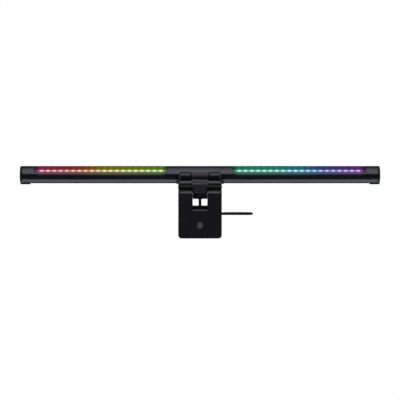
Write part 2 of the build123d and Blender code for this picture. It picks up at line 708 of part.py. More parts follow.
with BuildPart() as leg_shell:
    with BuildSketch(back_plane(LEG_FRONT_Y)):
        leg_outline()
    extrude(amount=LEG_FRONT_Y - LEG_SEAM_Y)
    fillet(leg_shell.faces().sort_by(Axis.Y)[-1].edges(), radius=1.0)
    with BuildSketch(back_plane(LEG_FLOOR_Y)):
        leg_outline(LEG_WALL)
        notch(SHELL_NOTCH_Z - NOTCH_WALL, NOTCH_HALF_WIDTH + NOTCH_WALL)
    extrude(amount=LEG_FLOOR_Y - LEG_SEAM_Y, mode=Mode.SUBTRACT)
    with BuildSketch(back_plane(LEG_FRONT_Y)):
        notch(SHELL_NOTCH_Z, NOTCH_HALF_WIDTH, mode=Mode.ADD)
    extrude(amount=LEG_FRONT_Y - LEG_SEAM_Y, mode=Mode.SUBTRACT)
    # Bosses for the axle at both sides of the notch
    for side in SIDES.values():
        with BuildSketch(side_plane(side * NOTCH_HALF_WIDTH)):
            with Locations((AXLE_Y, AXLE_Z)):
                Circle(BOSS_RADIUS)
            with Locations(((AXLE_Y + LEG_FRONT_Y - 0.5) / 2, AXLE_Z)):
                Rectangle(LEG_FRONT_Y - 0.5 - AXLE_Y, 2 * BOSS_RADIUS)
        extrude(amount=side * (BUSH_OUTER_X - NOTCH_HALF_WIDTH))
    # Middle knuckle and the post below it
    with BuildSketch(side_plane()):
        with Locations((AXLE_Y, AXLE_Z)):
            Circle(LUG_RADIUS)
        with BuildLine():
            Polyline(
                (AXLE_Y - 1.6, AXLE_Z),
                (AXLE_Y + 2.6, AXLE_Z),
                (LEG_FRONT_Y - 1.2, SHELL_NOTCH_Z - 0.5),
                (LEG_SEAM_Y + 0.6, SHELL_NOTCH_Z - 0.5),
                close=True,
            )
        make_face()
    extrude(amount=MULLION_HALF, both=True)
    with Locations((0, AXLE_Y, AXLE_Z)):
        Cylinder(AXLE_RADIUS + RUNNING_GAP, 2 * NOTCH_HALF_WIDTH, rotation=(0, 90, 0), mode=Mode.SUBTRACT)
    with Locations((0, AXLE_Y, AXLE_Z)):
        Cylinder(BUSH_WALL_RADIUS, 2 * BUSH_OUTER_X + 4, rotation=(0, 90, 0), mode=Mode.SUBTRACT)
    with BuildSketch(side_plane()):
        with Locations((AXLE_Y, AXLE_Z)):
            Circle(LUG_RADIUS)
            Circle(AXLE_RADIUS + RUNNING_GAP, mode=Mode.SUBTRACT)
    extrude(amount=MULLION_HALF, both=True)
    for side in SIDES.values():
        with Locations((side * NOTCH_HALF_WIDTH, AXLE_Y + HOOK_BEND, AXLE_Z - SPRING_MEAN_RADIUS)):
            Cylinder(HOOK_HOLE_RADIUS, 3.6, rotation=(0, 90, 0), mode=Mode.SUBTRACT)
    with BuildSketch(back_plane(LEG_FRONT_Y)):
        with Locations(*SCREW_PLACES):
            Circle(2.0)
    extrude(amount=1.0, mode=Mode.SUBTRACT)
    with BuildSketch(back_plane(LEG_FRONT_Y)):
        with Locations(*SCREW_PLACES):
            Circle(1.1)
    extrude(amount=3.0, mode=Mode.SUBTRACT)
    port_cut()

save(leg_shell.part, "leg_shell")

with BuildPart() as axle_bushes:
    for side in SIDES.values():
        with BuildSketch(side_plane(side * (NOTCH_HALF_WIDTH + 0.1))):
            with Locations((AXLE_Y, AXLE_Z)):
                Circle(BUSH_WALL_RADIUS)
                Circle(AXLE_RADIUS + RUNNING_GAP, mode=Mode.SUBTRACT)
        extrude(amount=side * (BUSH_OUTER_X - NOTCH_HALF_WIDTH - 0.1))

save(axle_bushes.part, "axle_bushes")

# A torsion spring at each side of the middle knuckle, hooked into a lug and into the leg.
SPRING_INNER_X = 4.1
SPRING_TURNS = 3.5
SPRING_LENGTH = 3.6
HOOK_LUG_LENGTH = 0.95
HOOK_LEG_LENGTH = 1.85
for name, side in SIDES.items():
    with BuildPart() as leg_spring:
        with BuildLine() as spring_wire:
            coil = Helix(
                pitch=SPRING_LENGTH / SPRING_TURNS,
                height=SPRING_LENGTH,
                radius=SPRING_MEAN_RADIUS,
                center=(SPRING_INNER_X, AXLE_Y, AXLE_Z),
                direction=(1, 0, 0),
            )
            lug_bend = JernArc(coil @ 0, -(coil % 0), HOOK_BEND, 90)
            Line(lug_bend @ 1, lug_bend @ 1 + (lug_bend % 1) * HOOK_LUG_LENGTH)
            leg_bend = JernArc(coil @ 1, coil % 1, HOOK_BEND, -90)
            Line(leg_bend @ 1, leg_bend @ 1 + (leg_bend % 1) * HOOK_LEG_LENGTH)
        wire_path = spring_wire.wires()[0]
        with BuildSketch(Plane(origin=wire_path @ 0, z_dir=wire_path % 0)):
            Circle(SPRING_WIRE_RADIUS)
        sweep(path=wire_path)
        if side < 0:
            mirror(about=Plane.YZ, mode=Mode.REPLACE)
    save(leg_spring.part, f"leg_spring_{name}")

with BuildPart() as leg_pad:
    with BuildSketch(back_plane(LEG_FRONT_Y + LEG_PAD_THICK)):
        with Locations((0, -42.5)):
            RectangleRounded(44, 29, 4)
    extrude(amount=LEG_PAD_THICK)
    fillet(leg_pad.faces().sort_by(Axis.Y)[-1].edges(), radius=1.5)

save(leg_pad.part, "leg_pad")

with BuildPart() as counterweight:
    with BuildSketch(back_plane(LEG_FLOOR_Y - 0.3)):
        with Locations((0, -47.6)):
            RectangleRounded(34, 18, 2)
    extrude(amount=5.6)

save(counterweight.part, "counterweight")

with BuildPart() as badge_disc:
    with BuildSketch(back_plane(LEG_REAR_Y + 0.6)):
        with Locations((0, -43.7)):
            Circle(4.0)
    extrude(amount=0.9)
    chamfer(badge_disc.faces().sort_by(Axis.Y)[0].edges(), length=0.25)

save(badge_disc.part, "badge_disc")

with BuildPart() as leg_screws:
    with BuildSketch(back_plane(LEG_FRONT_Y - 0.2)):
        with Locations(*SCREW_PLACES):
            Circle(1.9)
    extrude(amount=0.8)
    with BuildSketch(back_plane(LEG_FRONT_Y - 1.0)):
        with Locations(*SCREW_PLACES):
            Circle(1.0)
    extrude(amount=5.5)

save(leg_screws.part, "leg_screws")

# ---- Power socket, plug and lead ----------------------------------------------------

SOCKET_X = 4.6
SOCKET_LENGTH = 7.8
SOCKET_HALF_Y = 1.6
SOCKET_HALF_Z = 4.5
PLUG_START_X = SOCKET_X + SOCKET_LENGTH + 0.4
PLUG_END_X = 26.4
PORT_Y = (PORT_REAR_Y + PORT_FRONT_Y) / 2

with BuildPart() as usb_board:
    with BuildSketch(back_plane(PORT_Y + SOCKET_HALF_Y + 1.0)):
        with Locations((3.0, PORT_Z)):
            Rectangle(16, 11.6)
    extrude(amount=1.0)

save(usb_board.part, "usb_board")

with BuildPart() as usb_c_socket:
    with BuildSketch(side_plane(SOCKET_X)):
        with Locations((PORT_Y, PORT_Z)):
            RectangleRounded(2 * SOCKET_HALF_Y, 2 * SOCKET_HALF_Z, 1.5)
    extrude(amount=SOCKET_LENGTH)
    with BuildSketch(side_plane(SOCKET_X + 0.8)):
        with Locations((PORT_Y, PORT_Z)):
            RectangleRounded(2.6, 8.4, 1.25)
    extrude(amount=SOCKET_LENGTH, mode=Mode.SUBTRACT)

save(usb_c_socket.part, "usb_c_socket")

with BuildPart() as usb_c_plug_shell:
    with BuildSketch(side_plane(SOCKET_X + 1.4)):
        with Locations((PORT_Y, PORT_Z)):
            RectangleRounded(2.4, 8.2, 1.15)
    extrude(amount=PLUG_START_X - SOCKET_X - 1.4)

save(usb_c_plug_shell.part, "usb_c_plug_shell")

with BuildPart() as usb_c_plug:
    with BuildSketch(side_plane(PLUG_START_X)):
        with Locations((PORT_Y, PORT_Z)):
            RectangleRounded(6.0, 12.0, 2.0)
    extrude(amount=PLUG_END_X - PLUG_START_X)
    chamfer(usb_c_plug.faces().sort_by(Axis.X)[-1].edges(), length=0.6)

save(usb_c_plug.part, "usb_c_plug")

# The lead leaves the plug along +X, turns back behind the leg and lies down in a coil.
COIL_TOP_TURN_Z = FLOOR_Z + TIE_THICK + COIL_PITCH * (COIL_LAYERS - 0.5)
cord_route = [
    (PLUG_END_X, PORT_Y, PORT_Z),
    (38.8, -24.5, -29.5),
    (52.0, -23.7, -29.6),
    (62.6, -14.0, -30.7),
    (64.6, 1.0, -32.2),
    (56.6, 13.8, -33.6),
    (42.8, 19.6, -34.2),
    (27.5, 20.9, -34.4),
    (18.5, 20.8, -36.4),
    (11.0, 20.6, -41.0),
    (4.5, 20.5, -44.6),
    (-1.0, COIL_Y - COIL_MEAN_RADIUS, COIL_TOP_TURN_Z),
]


def corner_radii(points):
    """Largest arc at each corner that its two runs allow."""
    radii = []
    for before, here, after in zip(points, points[1:], points[2:]):
        first = Vector(*here) - Vector(*before)
        second = Vector(*after) - Vector(*here)
        half_turn = radians(first.get_angle(second)) / 2
        radii.append(0.45 * min(first.length, second.length) / tan(half_turn))
    return radii


coil_half_width = (COIL_COLUMNS * COIL_PITCH) / 2 + 0.1
coil_height = COIL_LAYERS * COIL_PITCH
coil_plane = Plane(origin=(0, COIL_Y, FLOOR_Z + TIE_THICK), z_dir=(0, 0, 1))
with BuildPart() as cord_coil:
    with BuildSketch(coil_plane):
        Circle(COIL_MEAN_RADIUS + coil_half_width)
        Circle(COIL_MEAN_RADIUS - coil_half_width, mode=Mode.SUBTRACT)
    extrude(amount=coil_height)

save(cord_coil.part, "cord_coil")

cord_radii = corner_radii(cord_route)
with BuildPart() as cord_lead:
    with BuildLine() as lead_path:
        FilletPolyline(*cord_route, radius=cord_radii)
    lead_line = lead_path.wires()[0]
    with BuildSketch(Plane(origin=lead_line @ 0, z_dir=lead_line % 0)):
        Circle(CORD_DIAMETER / 2)
    sweep()
    lead_volume = cord_lead.part.volume
    add(cord_coil.part, mode=Mode.SUBTRACT)

save(cord_lead.part, "cord_lead")

cord_area = pi * CORD_DIAMETER ** 2 / 4
print("cord corner radii:", [round(r, 1) for r in cord_radii])
print("cord lead length:", round(lead_line.length, 1))
print("cord volume ratio:", round(lead_volume / (cord_area * lead_line.length), 4))
turn_length = 2 * pi * COIL_MEAN_RADIUS
print("coil turns needed:", round((CORD_LENGTH - lead_line.length) / turn_length, 2))

# The tie goes once round the bundle, on the side away from the leg.
TIE_HALF_WIDTH = 3.0
TIE_ROOM = 0.5
tie_mid = COIL_Y + COIL_MEAN_RADIUS - 0.15
tie_mid_z = FLOOR_Z + TIE_THICK + coil_height / 2
with BuildPart() as cable_tie:
    with BuildSketch(side_plane()):
        with Locations((tie_mid, tie_mid_z)):
            Rectangle(2 * coil_half_width + 2 * TIE_THICK + TIE_ROOM, coil_height + 2 * TIE_THICK)
            Rectangle(2 * coil_half_width + TIE_ROOM, coil_height, mode=Mode.SUBTRACT)
    extrude(amount=TIE_HALF_WIDTH, both=True)

save(cable_tie.part, "cable_tie")

coil_top = FLOOR_Z + TIE_THICK + coil_height
USB_A_X = -14.5
USB_A_Y = 32.0
USB_A_LENGTH = 18.0
USB_A_SHELL_LENGTH = 12.4
USB_A_HEIGHT = 7.4
usb_a_mid_z = coil_top + USB_A_HEIGHT / 2
usb_a_mouth_y = USB_A_Y + USB_A_LENGTH

with BuildPart() as usb_a_plug:
    with BuildSketch(back_plane(usb_a_mouth_y)):
        with Locations((USB_A_X, usb_a_mid_z)):
            RectangleRounded(15.0, USB_A_HEIGHT, 1.6)
    extrude(amount=USB_A_LENGTH)
    chamfer(usb_a_plug.faces().sort_by(Axis.Y)[0].edges(), length=1.0)

save(usb_a_plug.part, "usb_a_plug")

with BuildPart() as usb_a_shell:
    with BuildSketch(back_plane(usb_a_mouth_y + USB_A_SHELL_LENGTH)):
        with Locations((USB_A_X, usb_a_mid_z)):
            Rectangle(12.0, 4.5)
    extrude(amount=USB_A_SHELL_LENGTH)
    with BuildSketch(back_plane(usb_a_mouth_y + USB_A_SHELL_LENGTH)):
        with Locations((USB_A_X, usb_a_mid_z)):
            Rectangle(11.4, 3.9)
    extrude(amount=USB_A_SHELL_LENGTH - 1.0, mode=Mode.SUBTRACT)

save(usb_a_shell.part, "usb_a_shell")
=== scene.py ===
"""Monitor light bar: materials, smooth shells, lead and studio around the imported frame.

Metres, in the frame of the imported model: +X along the tube, +Y towards the person at
the monitor, +Z up, with the origin on the monitor's top edge.
"""
import math

import bmesh
import bpy
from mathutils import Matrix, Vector


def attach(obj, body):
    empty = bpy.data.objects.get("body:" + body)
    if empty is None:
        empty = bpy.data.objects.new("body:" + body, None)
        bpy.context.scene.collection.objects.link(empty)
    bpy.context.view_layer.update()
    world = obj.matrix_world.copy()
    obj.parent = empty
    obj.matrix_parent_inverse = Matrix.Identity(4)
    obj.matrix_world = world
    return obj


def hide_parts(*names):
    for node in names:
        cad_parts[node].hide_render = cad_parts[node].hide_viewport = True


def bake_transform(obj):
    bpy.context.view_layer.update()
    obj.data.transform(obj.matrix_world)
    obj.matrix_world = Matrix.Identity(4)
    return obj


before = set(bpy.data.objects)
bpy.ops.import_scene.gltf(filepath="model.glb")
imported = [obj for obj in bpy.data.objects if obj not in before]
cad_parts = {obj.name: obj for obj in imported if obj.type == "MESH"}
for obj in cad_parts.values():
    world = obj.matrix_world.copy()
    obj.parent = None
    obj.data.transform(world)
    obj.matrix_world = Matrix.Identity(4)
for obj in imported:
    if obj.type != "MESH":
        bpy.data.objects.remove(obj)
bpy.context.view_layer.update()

MM = 0.001

# Tube
BAR_AXIS = Vector((0.0, 30.0, 13.4)) * MM
BAR_RADIUS = 11.0 * MM
BAR_WALL = 1.2 * MM
BAR_HALF = 225.0 * MM
CAP_THICK = 3.0 * MM
WINDOW_BEVEL = 0.18 * MM
WINDOW_GAP = 0.25 * MM
WINDOW_GAP_DEG = 0.7
GRID_STEP_DEG = 2
GRID_NEAR_DEG = 0.8

# Opal cover of the downward light
TASK_DIR = -76.0
TASK_HALF_ANGLE = 28.0
TASK_HALF_LENGTH = 212.3 * MM
TASK_RADIUS = 12.0 * MM
TASK_DEPTH = 0.8 * MM
TASK_GAP_DEG = 0.5

# Smoked strips and the coloured lamps behind them
RGB_FROM = 100.0
RGB_TO = 157.0
RGB_INNER_X = 41.0 * MM
RGB_OUTER_X = 207.0 * MM
RGB_DEPTH = 1.5 * MM
RGB_SINK = 0.05 * MM
RGB_LED_FIRST_X = 49.0 * MM
RGB_LED_PITCH = 7.8125 * MM
RGB_LED_COUNT = 20
RGB_LED_HALF_ROW = (RGB_LED_COUNT - 1) / 2 * RGB_LED_PITCH
RGB_LED_MIDDLE_X = RGB_LED_FIRST_X + RGB_LED_HALF_ROW

# Their glow, and its light painted on the tube below each strip: the heights where its parts are
# brightest, and how wide each part is
LAMP_Z = BAR_AXIS.z + 5.7 * MM
ECHO_Z = BAR_AXIS.z + 8.9 * MM
WASH_Z = LAMP_Z + 2.0 * MM
PAINTED_SPILL_Z = BAR_AXIS.z + 2.4 * MM
SPOT_LENGTH = 2.4 * MM
SPOT_HEIGHT = 1.0 * MM
ECHO_HEIGHT = 1.2 * MM
BAND_HEIGHT = 1.1 * MM
WASH_HEIGHT = 6.5 * MM
PAINTED_SPILL_HEIGHT = 2.0 * MM

# Touch strip and the marks on it
TOUCH_DIR = 55.0
TOUCH_HALF_ANGLE = 18.0
TOUCH_HALF_LENGTH = 32.0 * MM
TOUCH_DEPTH = 1.1 * MM
TOUCH_SINK = 0.02 * MM
MARK_PITCH = 12.0 * MM
MARK_RADIUS = 1.9 * MM
MARK_INNER_RADIUS = 0.8 * MM
MARK_LINE = 0.28 * MM
MARK_DEPTH = 0.1 * MM
MARK_POINTS = 40

# Springs on the rear leg's axle
LEG_AXLE = Vector((0.0, -24.5, -7.7)) * MM
SPRING_INNER_X = 4.1 * MM
SPRING_TURNS = 3.5
SPRING_TURN_POINTS = 24
SPRING_LENGTH = 3.6 * MM
SPRING_MEAN_RADIUS = 2.75 * MM
SPRING_WIRE = 0.76 * MM
HOOK_BEND = 0.8 * MM
HOOK_BEND_STEPS = 6
LUG_HOOK_LENGTH = 0.95 * MM
LEG_HOOK_LENGTH = 1.85 * MM

# Lead. The coil and the leg reach down to the same height
LOWEST_Z = -60.0 * MM
CORD_DIAMETER = 3.4 * MM
COIL_Y = 38.5 * MM
COIL_MEAN_RADIUS = 18.0 * MM
COIL_PITCH = 3.6 * MM
COIL_LAYERS = 4
TIE_THICK = 0.8 * MM
COIL_BASE_Z = LOWEST_Z + TIE_THICK + COIL_PITCH / 2
COIL_START_DEG = -93.0

# Materials
WHITE = (1.0, 1.0, 1.0)
CLOUD_SCALE = 60.0
OPAL_CLOUD_SCALE = 40.0
# Heights over which the saddle's foot and barrel fade into their painted sheen, a lighter bluish colour
SADDLE_PAINTED_SHEEN_FROM_Z = 5.4 * MM
SADDLE_PAINTED_SHEEN_FULL_Z = 6.0 * MM

# Studio
STUDIO_FLOOR_Z = -120.0 * MM
DESK_GLOW_Z = -34.0 * MM


# ---- Camera -------------------------------------------------------------------------

CAMERA_ELEVATION = 6.0
CAMERA_DISTANCE = 2.2
CAMERA_TARGET = Vector((0.0, 0.030, -0.01844))
CAMERA_LENS = 157.7


def add_camera():
    """Long lens behind the monitor's edge, a few degrees above the tube."""
    data = bpy.data.cameras.new("camera")
    data.sensor_width = 36.0
    data.lens = CAMERA_LENS
    data.clip_end = 50.0
    camera = bpy.data.objects.new("camera", data)
    tilt = math.radians(CAMERA_ELEVATION)
    back = Vector((0.0, -math.cos(tilt), math.sin(tilt)))
    camera.location = CAMERA_TARGET + back * CAMERA_DISTANCE
    camera.rotation_euler = (-back).to_track_quat("-Z", "Y").to_euler()
    bpy.context.collection.objects.link(camera)
    bpy.context.scene.camera = camera


add_camera()


# ---- Power lead ---------------------------------------------------------------------

LEAD_ROUTE = [
    (26.4, -24.5, -29.5),
    (38.8, -24.5, -29.5),
    (52.0, -23.7, -29.6),
    (62.6, -14.0, -30.7),
    (64.6, 1.0, -32.2),
    (56.6, 13.8, -33.6),
    (42.8, 19.6, -34.2),
    (27.5, 20.9, -34.4),
    (18.5, 20.8, -36.4),
    (11.0, 20.6, -41.0),
    (4.5, 20.5, -44.6),
]
# Where each turn of the coil lies: (layer from the bottom, column from the inside)
COIL_SLOTS = [
    (3, 1), (3, 0), (2, 0), (2, 1), (1, 1), (1, 0),
    (0, 0), (0, 1), (0, 2), (1, 2), (2, 2), (3, 2),
]
TURN_POINTS = 20
EASE_SHARE = 0.22
TAIL_RADIUS = 13.6 * MM
TAIL_POINTS = 7
TAIL_START_DEG = COIL_START_DEG - 2.0
TAIL_END_DEG = -180.0
PLUG_A_X = -14.5 * MM
PLUG_A_Y = 32.0 * MM
PLUG_A_HEIGHT = 7.4 * MM
PLUG_A_Z = COIL_BASE_Z + (COIL_LAYERS - 0.5) * COIL_PITCH + PLUG_A_HEIGHT / 2
LEAD_END_IN_PLUG = 0.5 * MM


def smooth_step(t):
    """Ease from 0 to 1."""
    t = min(max(t, 0.0), 1.0)
    return t * t * (3 - 2 * t)


def coil_points():
    """The wound turns: each slot holds one turn, and the lead eases over to the next."""
    points = []
    for turn, (layer, column) in enumerate(COIL_SLOTS):
        last = COIL_SLOTS[max(turn - 1, 0)]
        for i in range(TURN_POINTS):
            share = smooth_step((i / TURN_POINTS) / EASE_SHARE)
            row = last[0] + (layer - last[0]) * share
            ring = last[1] + (column - last[1]) * share
            angle = math.radians(COIL_START_DEG - 360.0 * i / TURN_POINTS)
            radius = COIL_MEAN_RADIUS + (ring - 1) * COIL_PITCH
            x = radius * math.cos(angle)
            y = COIL_Y + radius * math.sin(angle)
            points.append((x, y, COIL_BASE_Z + row * COIL_PITCH))
    return points


def tail_points():
    """From the last turn, up and round into the far plug that lies on the coil."""
    radius = COIL_MEAN_RADIUS + COIL_PITCH
    top = COIL_BASE_Z + (COIL_LAYERS - 1) * COIL_PITCH
    start = math.radians(TAIL_START_DEG)
    first = Vector((radius * math.cos(start), COIL_Y + radius * math.sin(start), top))
    inward = start + math.pi
    centre = first + Vector((math.cos(inward), math.sin(inward), 0.0)) * TAIL_RADIUS
    points = [tuple(first)]
    end = math.radians(TAIL_END_DEG)
    for i in range(1, TAIL_POINTS + 1):
        share = i / TAIL_POINTS
        angle = start + (end - start) * share
        x = centre.x + TAIL_RADIUS * math.cos(angle)
        y = centre.y + TAIL_RADIUS * math.sin(angle)
        points.append((x, y, top + (PLUG_A_Z - top) * smooth_step(share)))
    points.append((PLUG_A_X, PLUG_A_Y + LEAD_END_IN_PLUG, PLUG_A_Z))
    return points


def nurbs_curve(name, points, diameter):
    """One open, smooth spline with a round section."""
    curve = bpy.data.curves.new(name, "CURVE")
    curve.dimensions = "3D"
    curve.bevel_depth = diameter / 2
    curve.bevel_resolution = 5
    curve.resolution_u = 6
    curve.use_fill_caps = True
    spline = curve.splines.new("NURBS")
    spline.points.add(len(points) - 1)
    for point, place in zip(spline.points, points):
        point.co = (*place, 1.0)
    spline.order_u = 3
    spline.use_endpoint_u = True
    piece = bpy.data.objects.new(name, curve)
    bpy.context.collection.objects.link(piece)
    return piece


lead_route = [tuple(Vector(p) * MM) for p in LEAD_ROUTE]
power_lead = nurbs_curve("power_lead", lead_route + coil_points() + tail_points(), CORD_DIAMETER)


# ---- Node helpers -------------------------------------------------------------------

class Shader:
    """A small builder for node materials."""

    def __init__(self, name):
        self.material = bpy.data.materials.new(name)
        self.material.use_nodes = True
        self.tree = self.material.node_tree
        self.bsdf = self.tree.nodes["Principled BSDF"]
        self.coords = self.tree.nodes.new("ShaderNodeTexCoord").outputs["Object"]

    def node(self, kind, **settings):
        """Add a node with these settings."""
        made = self.tree.nodes.new("ShaderNode" + kind)
        for key, value in settings.items():
            setattr(made, key, value)
        return made

    def link(self, output, target):
        """Join two sockets."""
        self.tree.links.new(output, target)

    def set(self, **values):
        """Give the main shader's inputs fixed values."""
        for key, value in values.items():
            self.bsdf.inputs[key.replace("_", " ")].default_value = value

    def axes(self):
        """The object's own coordinates, one socket each for X, Y and Z."""
        split = self.node("SeparateXYZ")
        self.link(self.coords, split.inputs["Vector"])
        return split.outputs

    def noise(self, scale, detail=3.0, stretch=(1.0, 1.0, 1.0)):
        """Noise over the object's own coordinates. Stretch above 1 makes it finer."""
        mapping = self.node("Mapping")
        mapping.inputs["Scale"].default_value = stretch
        self.link(self.coords, mapping.inputs["Vector"])
        noise = self.node("TexNoise")
        noise.inputs["Scale"].default_value = scale
        noise.inputs["Detail"].default_value = detail
        self.link(mapping.outputs["Vector"], noise.inputs["Vector"])
        return noise.outputs["Fac"]

    def spread(self, value, low, high, source=(0.3, 0.7)):
        """Map a value from a source range to a range."""
        mapped = self.node("MapRange")
        mapped.inputs["From Min"].default_value = source[0]
        mapped.inputs["From Max"].default_value = source[1]
        mapped.inputs["To Min"].default_value = low
        mapped.inputs["To Max"].default_value = high
        self.link(value, mapped.inputs["Value"])
        return mapped.outputs["Result"]

    def math(self, operation, first, second=None):
        """One math node; its inputs are sockets or numbers."""
        made = self.node("Math", operation=operation)
        for socket, value in zip(made.inputs, (first, second)):
            if value is None:
                continue
            if isinstance(value, (int, float)):
                socket.default_value = value
            else:
                self.link(value, socket)
        return made.outputs["Value"]

    def product(self, first, *others):
        """Sockets or numbers, multiplied in turn."""
        for other in others:
            first = self.math("MULTIPLY", first, other)
        return first

    def weighted(self, *parts):
        """The sum of sockets, each times its weight."""
        weighed = [self.math("MULTIPLY", socket, weight) for socket, weight in parts]
        total = weighed[0]
        for part in weighed[1:]:
            total = self.math("ADD", total, part)
        return total

    def mix(self, share, first, second):
        """Mix two colours by a share; a colour is a socket or three numbers."""
        made = self.node("Mix", data_type="RGBA")
        self.link(share, made.inputs["Factor"])
        for socket, value in ((made.inputs[6], first), (made.inputs[7], second)):
            if isinstance(value, (tuple, list)):
                socket.default_value = (*value, 1.0)
            else:
                self.link(value, socket)
        return made.outputs[2]

    def bump(self, height, distance):
        """Add a bump to the surface's normal."""
        made = self.node("Bump")
        made.inputs["Distance"].default_value = distance
        self.link(height, made.inputs["Height"])
        self.link(made.outputs["Normal"], self.bsdf.inputs["Normal"])


def coat(shader, dark, light, roughness, grain=1500.0, depth=0.02 * MM, metallic=0.0,
         stretch=(1.0, 1.0, 1.0), **values):
    """Give a shader two close colours, uneven roughness and a fine grain."""
    shader.set(Metallic=metallic, **values)
    clouds = shader.noise(CLOUD_SCALE, detail=4.0)
    fine = shader.noise(grain, detail=2.0, stretch=stretch)
    share = shader.weighted((clouds, 0.5), (fine, 0.5))
    tone = shader.spread(share, 0.0, 1.0, source=(0.35, 0.65))
    shader.link(shader.mix(tone, dark, light), shader.bsdf.inputs["Base Color"])
    rough = shader.spread(share, roughness[0], roughness[1])
    shader.link(rough, shader.bsdf.inputs["Roughness"])
    if depth:
        shader.bump(fine, depth)


def surface(name, *looks, **values):
    """A material with such a coat."""
    shader = Shader(name)
    coat(shader, *looks, **values)
    return shader.material


# ---- Materials ----------------------------------------------------------------------

def glow(name, color, strength, rim):
    """Opal plastic lit from behind, in its rim colour where its noise is low."""
    shader = Shader(name)
    tone = shader.spread(shader.noise(OPAL_CLOUD_SCALE), 0.0, 1.0)
    cloudy = shader.mix(tone, rim, color)
    shader.link(cloudy, shader.bsdf.inputs["Base Color"])
    shader.link(cloudy, shader.bsdf.inputs["Emission Color"])
    shader.set(Emission_Strength=strength, Roughness=0.35)
    return shader.material


# Colours along each strip, from its left end to its right end
HUES = {
    "left": [
        (0.00, (1.00, 0.10, 0.56)),
        (0.10, (1.00, 0.10, 0.26)),
        (0.24, (1.00, 0.10, 0.12)),
        (0.38, (1.00, 0.24, 0.03)),
        (0.52, (0.90, 0.68, 0.02)),
        (0.72, (0.72, 0.88, 0.02)),
        (1.00, (0.40, 0.96, 0.04)),
    ],
    "right": [
        (0.00, (0.05, 0.95, 0.48)),
        (0.25, (0.06, 0.98, 0.66)),
        (0.50, (0.06, 0.76, 0.96)),
        (0.66, (0.10, 0.24, 0.90)),
        (0.84, (0.32, 0.12, 0.92)),
        (1.00, (0.66, 0.06, 0.80)),
    ],
}


def rainbow(shader, axes, side):
    """Colour along the strip, from its left end to its right end."""
    low = -RGB_OUTER_X if side == "left" else RGB_INNER_X
    place = shader.spread(axes["X"], 0.0, 1.0, source=(low, low + RGB_OUTER_X - RGB_INNER_X))
    ramp = shader.node("ValToRGB")
    stops = ramp.color_ramp.elements
    while len(stops) < len(HUES[side]):
        stops.new(0.5)
    for stop, (position, color) in zip(stops, HUES[side]):
        stop.position = position
        stop.color = (*color, 1.0)
    shader.link(place, ramp.inputs["Fac"])
    return ramp.outputs["Color"]


def bell(shader, place, middle, width):
    """A bell curve of a place: 1 in the middle, near 0 beyond two widths from it."""
    share = shader.math("DIVIDE", shader.math("SUBTRACT", place, middle), width)
    return shader.math("EXPONENT", shader.product(share, share, -1.0))


def off_row_middle(shader, axes):
    """Distance along the tube from the middle of the row of lamps on the same side."""
    along = shader.math("ABSOLUTE", axes["X"])
    return shader.math("ABSOLUTE", shader.math("SUBTRACT", along, RGB_LED_MIDDLE_X))


def row_fade(shader, off_middle, pitches):
    """1 along a row of lamps. It fades to 0 over one pitch, from so many pitches past the row."""
    start = RGB_LED_HALF_ROW + pitches * RGB_LED_PITCH
    return shader.spread(off_middle, 1.0, 0.0, source=(start, start + RGB_LED_PITCH))


def lamp_cell(shader, axes):
    """Place within one lamp's pitch: 0 in the middle between two lamps, half a pitch at a lamp."""
    along = shader.math("ABSOLUTE", axes["X"])
    from_first = shader.math("SUBTRACT", along, RGB_LED_FIRST_X - RGB_LED_PITCH / 2)
    cell = shader.math("FRACT", shader.math("DIVIDE", from_first, RGB_LED_PITCH))
    return shader.math("MULTIPLY", cell, RGB_LED_PITCH)


def strip_glow(side):
    """Smoked lens over a row of coloured lamps: a spot and a faint echo at each, a band, a wash."""
    shader = Shader("smoked_lens_" + side)
    axes = shader.axes()
    height = axes["Z"]
    off_middle = off_row_middle(shader, axes)
    lit = row_fade(shader, off_middle, 0.3)
    has_lamp = shader.math("LESS_THAN", off_middle, RGB_LED_HALF_ROW + RGB_LED_PITCH / 2)
    across = bell(shader, lamp_cell(shader, axes), RGB_LED_PITCH / 2, SPOT_LENGTH)
    spot = shader.product(across, bell(shader, height, LAMP_Z, SPOT_HEIGHT), has_lamp)
    echo = shader.product(across, bell(shader, height, ECHO_Z, ECHO_HEIGHT), has_lamp)
    band = shader.product(bell(shader, height, LAMP_Z, BAND_HEIGHT), lit)
    wash = shader.product(bell(shader, height, WASH_Z, WASH_HEIGHT), lit)
    whiteness = shader.weighted((band, 0.22), (spot, 0.36))
    color = shader.mix(whiteness, rainbow(shader, axes, side), WHITE)
    shader.link(color, shader.bsdf.inputs["Emission Color"])
    strength = shader.weighted((wash, 0.13), (band, 0.36), (spot, 0.90), (echo, 0.09))
    shader.link(strength, shader.bsdf.inputs["Emission Strength"])
    dust = shader.noise(900.0)
    smoke = shader.mix(dust, (0.003, 0.003, 0.004), (0.007, 0.007, 0.009))
    shader.link(smoke, shader.bsdf.inputs["Base Color"])
    shader.link(shader.spread(dust, 0.22, 0.3), shader.bsdf.inputs["Roughness"])
    shader.set(Specular_IOR_Level=0.05)
    return shader.material


def saddle_painted_sheen():
    """Black plastic, with a painted sheen on the foot and barrel above the plate: a lighter, bluish colour
    there.
    """
    shader = Shader("saddle_plastic")
    coat(shader, (0.004, 0.004, 0.006), (0.007, 0.007, 0.009), (0.32, 0.42), depth=0.01 * MM,
         Specular_IOR_Level=0.55)
    # Painted highlight: above the plate the colour turns lighter and bluish in place of the sheen of the
    # foot and barrel
    above = shader.spread(shader.axes()["Z"], 0.0, 1.0, source=(SADDLE_PAINTED_SHEEN_FROM_Z, SADDLE_PAINTED_SHEEN_FULL_Z))
    plain = shader.bsdf.inputs["Base Color"].links[0].from_socket
    shader.link(shader.mix(above, plain, (0.034, 0.033, 0.044)), shader.bsdf.inputs["Base Color"])
    return shader.material


